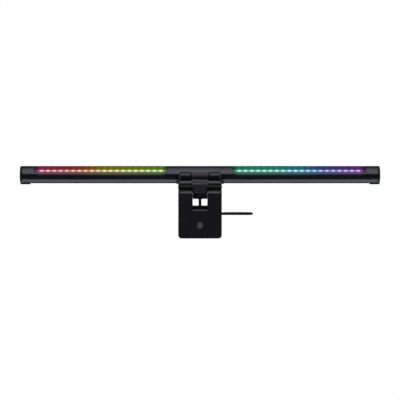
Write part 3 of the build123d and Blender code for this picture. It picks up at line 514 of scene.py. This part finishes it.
def tube_metal():
    """Dark anodised metal, with the coloured lamps' light painted on as a faint glow just below each
    strip.
    """
    shader = Shader("dark_anodised")
    coat(shader, (0.070, 0.075, 0.094), (0.088, 0.094, 0.116), (0.17, 0.23), grain=2600.0,
         depth=0.002 * MM, metallic=1.0, stretch=(0.12, 1.0, 1.0), Specular_Tint=(0.3, 0.3, 0.32, 1.0))
    axes = shader.axes()
    on_right = shader.math("GREATER_THAN", axes["X"], 0.0)
    color = shader.mix(on_right, rainbow(shader, axes, "left"), rainbow(shader, axes, "right"))
    shader.link(color, shader.bsdf.inputs["Emission Color"])
    lit = row_fade(shader, off_row_middle(shader, axes), 0.0)
    # Painted light: the metal itself emits a faint glow in the lamps' colours, in a band below each strip,
    # on the rear half only
    painted_spill = bell(shader, axes["Z"], PAINTED_SPILL_Z, PAINTED_SPILL_HEIGHT)
    rear = shader.math("LESS_THAN", axes["Y"], BAR_AXIS.y)
    strength = shader.product(painted_spill, lit, rear, 0.07)
    shader.link(strength, shader.bsdf.inputs["Emission Strength"])
    return shader.material


def lamp_glow(side):
    """The coloured lamps themselves, behind the lens."""
    shader = Shader("colour_lamps_" + side)
    shader.link(rainbow(shader, shader.axes(), side), shader.bsdf.inputs["Emission Color"])
    speck = shader.noise(2500.0)
    shader.link(shader.mix(speck, (0.8, 0.8, 0.8), (0.95, 0.95, 0.95)), shader.bsdf.inputs["Base Color"])
    shader.set(Emission_Strength=2.0, Roughness=0.3)
    return shader.material


anodised = tube_metal()
cap_plastic = surface("cap_plastic", (0.0035, 0.0035, 0.0045), (0.006, 0.006, 0.0075), (0.4, 0.5),
                      depth=0.008 * MM, Specular_IOR_Level=0.3)
bracket_paint = surface("bracket_paint", (0.062, 0.066, 0.082), (0.08, 0.085, 0.104), (0.2, 0.28),
                        metallic=0.8, depth=0.004 * MM, Specular_Tint=(0.3, 0.3, 0.32, 1.0))
spine_plastic = surface("spine_plastic", (0.030, 0.0285, 0.043), (0.038, 0.036, 0.053), (0.36, 0.46),
                        depth=0.01 * MM, Specular_IOR_Level=0.4)
leg_plastic = surface("leg_plastic", (0.0088, 0.0080, 0.0122), (0.0122, 0.0112, 0.0160), (0.25, 0.32),
                      grain=3200.0, depth=0.008 * MM, Specular_IOR_Level=0.9)
body_plastic = surface("body_plastic", (0.004, 0.004, 0.006), (0.007, 0.007, 0.009), (0.32, 0.42),
                       depth=0.01 * MM, Specular_IOR_Level=0.55)
pad_rubber = surface("pad_rubber", (0.014, 0.014, 0.015), (0.026, 0.026, 0.027), (0.75, 0.9),
                     grain=1100.0, depth=0.08 * MM)
cord_jacket = surface("cord_jacket", (0.0022, 0.0022, 0.0026), (0.004, 0.004, 0.0045), (0.45, 0.6),
                      grain=1800.0, depth=0.01 * MM, Specular_IOR_Level=0.2)
plug_rubber = surface("plug_rubber", (0.010, 0.010, 0.011), (0.018, 0.018, 0.02), (0.5, 0.65))
steel = surface("bright_steel", (0.48, 0.48, 0.50), (0.62, 0.62, 0.63), (0.22, 0.34), metallic=1.0,
                grain=900.0, depth=0.003 * MM)
spring_steel = surface("spring_steel", (0.05, 0.05, 0.055), (0.09, 0.09, 0.095), (0.25, 0.38),
                       metallic=1.0, depth=0.003 * MM)
black_steel = surface("black_steel", (0.02, 0.02, 0.022), (0.04, 0.04, 0.043), (0.3, 0.42),
                      metallic=0.7, depth=0.004 * MM)
mill_metal = surface("mill_metal", (0.55, 0.55, 0.57), (0.68, 0.68, 0.69), (0.32, 0.45), metallic=1.0,
                     grain=2000.0, depth=0.006 * MM, stretch=(0.1, 1.0, 1.0))
zinc = surface("die_cast_zinc", (0.3, 0.3, 0.32), (0.42, 0.42, 0.43), (0.45, 0.6), metallic=1.0,
               depth=0.03 * MM)
acetal = surface("acetal", (0.66, 0.65, 0.6), (0.76, 0.75, 0.71), (0.35, 0.45), depth=0.004 * MM)
dark_acetal = surface("dark_acetal", (0.006, 0.006, 0.007), (0.011, 0.011, 0.012), (0.35, 0.45),
                      depth=0.004 * MM)
white_board = surface("white_board", (0.72, 0.73, 0.7), (0.84, 0.85, 0.82), (0.3, 0.4), depth=0.01 * MM)
dark_board = surface("dark_board", (0.012, 0.03, 0.02), (0.02, 0.045, 0.03), (0.25, 0.4), depth=0.015 * MM)
gloss_black = surface("gloss_black", (0.006, 0.006, 0.007), (0.009, 0.009, 0.011), (0.06, 0.1), depth=0.0)
badge_metal = surface("badge_metal", (0.15, 0.15, 0.157), (0.30, 0.30, 0.31), (0.3, 0.42),
                      metallic=0.35, depth=0.01 * MM, stretch=(0.15, 1.0, 1.0))
strap = surface("strap_fabric", (0.016, 0.016, 0.017), (0.04, 0.04, 0.042), (0.8, 0.95),
                grain=2600.0, depth=0.15 * MM)
touch_ink = glow("touch_ink", (0.80, 0.86, 1.0), 0.45, (0.62, 0.68, 0.82))
opal = glow("opal_diffuser", (1.0, 0.985, 0.95), 1.0, (0.96, 0.95, 0.91))
task_lamps = glow("task_lamps", (1.0, 0.93, 0.75), 2.5, (0.95, 0.85, 0.55))

NODE_MATERIALS = {
    "led_carrier": mill_metal,
    "task_led_board": white_board,
    "task_leds": task_lamps,
    "rgb_board_left": dark_board,
    "rgb_board_right": dark_board,
    "rgb_leds_left": lamp_glow("left"),
    "rgb_leds_right": lamp_glow("right"),
    "control_board": dark_board,
    "hinge_bracket": bracket_paint,
    "bracket_screws": black_steel,
    "tilt_pin": steel,
    "pin_caps": cap_plastic,
    "friction_washers": dark_acetal,
    "saddle_frame": saddle_painted_sheen(),
    "spine_cover": spine_plastic,
    "saddle_pad": pad_rubber,
    "lip_pad": pad_rubber,
    "tilt_bush": acetal,
    "leg_axle": black_steel,
    "spine_screws": black_steel,
    "spine_harness": cord_jacket,
    "leg_shell": body_plastic,
    "leg_cover": leg_plastic,
    "leg_pad": pad_rubber,
    "counterweight": zinc,
    "badge_disc": badge_metal,
    "leg_screws": black_steel,
    "axle_bushes": dark_acetal,
    "usb_board": dark_board,
    "usb_c_socket": steel,
    "usb_c_plug_shell": steel,
    "usb_c_plug": plug_rubber,
    "usb_a_plug": plug_rubber,
    "usb_a_shell": steel,
    "end_cap_left": cap_plastic,
    "end_cap_right": cap_plastic,
    "cable_tie": strap,
}


def dress_nodes():
    """Give the CAD nodes that stay their materials."""
    for name, material in NODE_MATERIALS.items():
        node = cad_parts[name]
        for slot in node.material_slots:
            slot.material = material
        if not node.material_slots:
            node.data.materials.append(material)


dress_nodes()


# ---- Mesh helpers -------------------------------------------------------------------

def add_piece(name, bm, material, body, nodes=(), bevel=0.0, segments=2):
    """Turn a bmesh into a piece that rides on a body, if one is given, and stands for CAD nodes."""
    mesh = bpy.data.meshes.new(name)
    bmesh.ops.recalc_face_normals(bm, faces=bm.faces)
    bm.to_mesh(mesh)
    bm.free()
    mesh.materials.append(material)
    mesh.shade_smooth()
    piece = bpy.data.objects.new(name, mesh)
    bpy.context.collection.objects.link(piece)
    if bevel:
        modifier = piece.modifiers.new("edges", "BEVEL")
        modifier.width = bevel
        modifier.segments = segments
        modifier.limit_method = "ANGLE"
        modifier.angle_limit = math.radians(40)
        modifier.harden_normals = True
    if body:
        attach(piece, body)
    if nodes:
        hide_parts(*nodes)
    return piece


def bar_point(x, radius, angle):
    """Point at an angle round the tube's axis, in degrees from +Y towards +Z."""
    a = math.radians(angle)
    return Vector((x, BAR_AXIS.y + radius * math.cos(a), BAR_AXIS.z + radius * math.sin(a)))


def arc_shell(inner, outer, start, end, x_from, x_to):
    """A closed piece of a thick tube wall, between two angles and two places along X."""
    bm = bmesh.new()
    count = max(2, round(abs(end - start) / GRID_STEP_DEG))
    corners = ((x_from, inner), (x_to, inner), (x_to, outer), (x_from, outer))
    rings = []
    for i in range(count + 1):
        angle = start + (end - start) * i / count
        rings.append([bm.verts.new(bar_point(x, r, angle)) for x, r in corners])
    for ring, after in zip(rings, rings[1:]):
        for k in range(4):
            bm.faces.new((ring[k], ring[(k + 1) % 4], after[(k + 1) % 4], after[k]))
    bm.faces.new(rings[0][::-1])
    bm.faces.new(rings[-1])
    return bm


def tube_grid(stations, angles, windows):
    """A grid rolled round the tube's axis, without the cells that lie in a window."""
    bm = bmesh.new()
    grid = [[bm.verts.new(bar_point(x, BAR_RADIUS, a)) for a in angles] for x in stations]
    for i in range(len(stations) - 1):
        mid_x = (stations[i] + stations[i + 1]) / 2
        for k, angle in enumerate(angles):
            after = (k + 1) % len(angles)
            mid_a = (angle + (angles[after] if after else 180.0)) / 2
            if any(a < mid_x < b and c < mid_a < d for a, b, c, d in windows):
                continue
            bm.faces.new((grid[i][k], grid[i + 1][k], grid[i + 1][after], grid[i][after]))
    loose = [v for v in bm.verts if not v.link_faces]
    bmesh.ops.delete(bm, geom=loose, context="VERTS")
    return bm


# ---- Tube, lenses and diffuser ------------------------------------------------------

def tube_windows():
    """Openings in the tube wall: (x from, x to, angle from, angle to)."""
    task_reach = TASK_HALF_ANGLE + TASK_GAP_DEG
    touch_end = TOUCH_HALF_LENGTH + WINDOW_GAP
    touch_reach = TOUCH_HALF_ANGLE + WINDOW_GAP_DEG
    inner, outer = RGB_INNER_X - WINDOW_GAP, RGB_OUTER_X + WINDOW_GAP
    low, high = RGB_FROM - WINDOW_GAP_DEG, RGB_TO + WINDOW_GAP_DEG
    return [
        (-BAR_HALF, BAR_HALF, TASK_DIR - task_reach, TASK_DIR + task_reach),
        (-touch_end, touch_end, TOUCH_DIR - touch_reach, TOUCH_DIR + touch_reach),
        (-outer, -inner, low, high),
        (inner, outer, low, high),
    ]


def tube_angles(windows):
    """The grid's angles: even steps and the windows' edges, which push out a step close to them."""
    edges = {angle for window in windows for angle in window[2:]}
    steps = {float(a) for a in range(-180, 180, GRID_STEP_DEG)}
    angles = sorted(steps | edges)
    keep = angles[:1]
    for angle in angles[1:]:
        if angle - keep[-1] < GRID_NEAR_DEG:
            if angle not in edges:
                continue
            keep.pop()
        keep.append(angle)
    return keep


def build_tube():
    """The extruded housing between the caps, open where the lenses and the touch strip sit."""
    windows = tube_windows()
    half = BAR_HALF - CAP_THICK
    ends = {x for window in windows for x in window[:2] if abs(x) < half}
    bm = tube_grid(sorted(ends | {-half, half}), tube_angles(windows), windows)
    piece = add_piece("lamp_tube", bm, anodised, "light_bar", ["bar_housing"])
    wall = piece.modifiers.new("wall", "SOLIDIFY")
    wall.thickness = BAR_WALL
    wall.offset = -1.0
    edges = piece.modifiers.new("edges", "BEVEL")
    edges.width = WINDOW_BEVEL
    edges.segments = 2
    edges.limit_method = "ANGLE"
    edges.angle_limit = math.radians(50)


def build_lenses():
    """Smoked strips over the coloured lamps, flush with the tube."""
    inner, outer = BAR_RADIUS - RGB_DEPTH, BAR_RADIUS - RGB_SINK
    for side, low, high in (("left", -RGB_OUTER_X, -RGB_INNER_X), ("right", RGB_INNER_X, RGB_OUTER_X)):
        bm = arc_shell(inner, outer, RGB_FROM, RGB_TO, low, high)
        add_piece("smoked_strip_" + side, bm, strip_glow(side), "light_bar",
                  ["rgb_lens_" + side], bevel=0.2 * MM)


def build_diffuser():
    """Opal cover of the downward light, a millimetre proud of the tube."""
    bm = arc_shell(BAR_RADIUS - TASK_DEPTH, TASK_RADIUS, TASK_DIR - TASK_HALF_ANGLE,
                   TASK_DIR + TASK_HALF_ANGLE, -TASK_HALF_LENGTH, TASK_HALF_LENGTH)
    add_piece("opal_cover", bm, opal, "light_bar", ["task_diffuser"],
              bevel=0.4 * MM, segments=3)


def add_ring(bm, x, radius):
    """A thin ring inlaid in the touch strip, bent round the tube's axis."""
    rows = []
    for i in range(MARK_POINTS):
        turn = math.tau * i / MARK_POINTS
        row = []
        for r in (radius - MARK_LINE / 2, radius + MARK_LINE / 2):
            angle = TOUCH_DIR + math.degrees(r * math.sin(turn) / BAR_RADIUS)
            for depth in (MARK_DEPTH, 0.0):
                row.append(bm.verts.new(bar_point(x + r * math.cos(turn), BAR_RADIUS - depth, angle)))
        rows.append(row)
    for i, row in enumerate(rows):
        after = rows[(i + 1) % MARK_POINTS]
        for a, b in ((0, 1), (1, 3), (3, 2), (2, 0)):
            bm.faces.new((row[a], row[b], after[b], after[a]))


def build_touch_panel():
    """Glossy strip with five generic touch marks: rings, every other one double."""
    bm = arc_shell(BAR_RADIUS - TOUCH_DEPTH, BAR_RADIUS - TOUCH_SINK, TOUCH_DIR - TOUCH_HALF_ANGLE,
                   TOUCH_DIR + TOUCH_HALF_ANGLE, -TOUCH_HALF_LENGTH, TOUCH_HALF_LENGTH)
    add_piece("touch_strip", bm, gloss_black, "light_bar", ["touch_panel"], bevel=0.15 * MM)
    marks = bmesh.new()
    for i in range(-2, 3):
        add_ring(marks, i * MARK_PITCH, MARK_RADIUS)
        if i % 2 == 0:
            add_ring(marks, i * MARK_PITCH, MARK_INNER_RADIUS)
    add_piece("touch_marks", marks, touch_ink, "light_bar")


# ---- Leg springs --------------------------------------------------------------------

def bend_points(x, y, z, turn_from, turn_to):
    """Points round a hook's bend in the plane of X and Y."""
    for i in range(HOOK_BEND_STEPS + 1):
        a = math.radians(turn_from + (turn_to - turn_from) * i / HOOK_BEND_STEPS)
        yield Vector((x + HOOK_BEND * math.cos(a), y + HOOK_BEND * math.sin(a), z))


def spring_points():
    """Right-hand torsion spring: hook in the saddle's lug, turns, hook in the leg's wall."""
    radius, y = SPRING_MEAN_RADIUS, LEG_AXLE.y
    top, bottom = LEG_AXLE.z + radius, LEG_AXLE.z - radius
    lug_bend = SPRING_INNER_X - HOOK_BEND
    leg_bend = SPRING_INNER_X + SPRING_LENGTH + HOOK_BEND
    points = [Vector((lug_bend - LUG_HOOK_LENGTH, y + HOOK_BEND, top))]
    points.extend(bend_points(lug_bend, y, top, 90, 0))
    count = round(SPRING_TURNS * SPRING_TURN_POINTS)
    for i in range(1, count):
        a = math.radians(90) + math.tau * SPRING_TURNS * i / count
        x = SPRING_INNER_X + SPRING_LENGTH * i / count
        points.append(LEG_AXLE + Vector((x, radius * math.cos(a), radius * math.sin(a))))
    points.extend(bend_points(leg_bend, y, bottom, 180, 90))
    points.append(Vector((leg_bend + LEG_HOOK_LENGTH, y + HOOK_BEND, bottom)))
    return points


def build_springs():
    """Torsion springs on the leg's axle. Each winds up between the clamp and the leg."""
    for side, sign in (("left", -1), ("right", 1)):
        path = [Vector((sign * p.x, p.y, p.z)) for p in spring_points()]
        wire = nurbs_curve("spring_wire_" + side, path, SPRING_WIRE)
        shown = wire.evaluated_get(bpy.context.evaluated_depsgraph_get())
        mesh = bpy.data.meshes.new_from_object(shown)
        bpy.data.objects.remove(wire)
        bm = bmesh.new()
        bm.from_mesh(mesh)
        bpy.data.meshes.remove(mesh)
        spring = add_piece("torsion_spring_" + side, bm, spring_steel, None,
                           ["leg_spring_" + side])
        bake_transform(spring)


build_tube()
build_lenses()
build_diffuser()
build_touch_panel()
build_springs()


# ---- Lead ---------------------------------------------------------------------------

power_lead.data.materials.append(cord_jacket)
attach(power_lead, "rear_leg")
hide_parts("cord_lead", "cord_coil")


# ---- Studio -------------------------------------------------------------------------

def camera_or(tree, camera_shader, other_shader):
    """Show one shader to the camera and another to every other ray."""
    path = tree.nodes.new("ShaderNodeLightPath")
    mix = tree.nodes.new("ShaderNodeMixShader")
    tree.links.new(path.outputs["Is Camera Ray"], mix.inputs["Fac"])
    tree.links.new(other_shader.outputs[0], mix.inputs[1])
    tree.links.new(camera_shader.outputs[0], mix.inputs[2])
    return mix


def add_world():
    """A white surround for the camera and a dim one for reflections."""
    world = bpy.data.worlds.new("studio")
    world.use_nodes = True
    tree = world.node_tree
    seen = tree.nodes["Background"]
    seen.inputs["Color"].default_value = (*WHITE, 1.0)
    dim = tree.nodes.new("ShaderNodeBackground")
    dim.inputs["Color"].default_value = (0.05, 0.05, 0.062, 1.0)
    mix = camera_or(tree, seen, dim)
    tree.links.new(mix.outputs[0], tree.nodes["World Output"].inputs["Surface"])
    bpy.context.scene.world = world


def add_floor():
    """A pale floor, low enough for the coil to clear it when the leg swings out."""
    bpy.ops.mesh.primitive_plane_add(size=8.0, location=(0.0, 0.0, STUDIO_FLOOR_Z))
    floor = bpy.context.object
    floor.name = "studio_floor"
    material = bpy.data.materials.new("studio_floor")
    material.use_nodes = True
    tree = material.node_tree
    tree.nodes.remove(tree.nodes["Principled BSDF"])
    seen = tree.nodes.new("ShaderNodeEmission")
    seen.inputs["Color"].default_value = (*WHITE, 1.0)
    lit = tree.nodes.new("ShaderNodeBsdfDiffuse")
    lit.inputs["Color"].default_value = (0.12, 0.12, 0.15, 1.0)
    mix = camera_or(tree, seen, lit)
    tree.links.new(mix.outputs[0], tree.nodes["Material Output"].inputs["Surface"])
    floor.data.materials.append(material)


def add_panel(name, place, target, width, height, power):
    """A soft rectangular light that faces a target."""
    data = bpy.data.lights.new(name, "AREA")
    data.shape = "RECTANGLE"
    data.size = width
    data.size_y = height
    data.energy = power
    light = bpy.data.objects.new(name, data)
    light.location = place
    light.visible_camera = False
    direction = Vector(target) - Vector(place)
    light.rotation_euler = direction.to_track_quat("-Z", "Y").to_euler()
    bpy.context.collection.objects.link(light)


def add_lights():
    """A key panel behind the tube, one overhead, one in front, and weak fills below and beside."""
    centre = (0.0, 0.0, 0.0)
    add_panel("key", (0.0, -0.887, 0.951), centre, 2.6, 1.46, 11.0)
    add_panel("overhead", (0.0, 0.11, 1.295), centre, 2.6, 0.95, 4.2)
    add_panel("front_fill", (0.0, 1.25, 0.42), centre, 2.6, 0.62, 5.0)
    for name, y, power in (("rear", 0.0, 0.024), ("middle", 0.02, 0.052), ("front", 0.04, 0.035)):
        add_panel("desk_glow_" + name, (0.0, y, DESK_GLOW_Z), (0.0, y, 1.0), 0.7, 0.02, power)
    add_panel("left_fill", (-1.6, 0.2, 0.5), centre, 0.6, 0.8, 1.0)
    add_panel("right_fill", (1.6, 0.2, 0.5), centre, 0.6, 0.8, 1.0)


add_world()
add_floor()
add_lights()
bpy.context.scene.view_settings.view_transform = "Standard"
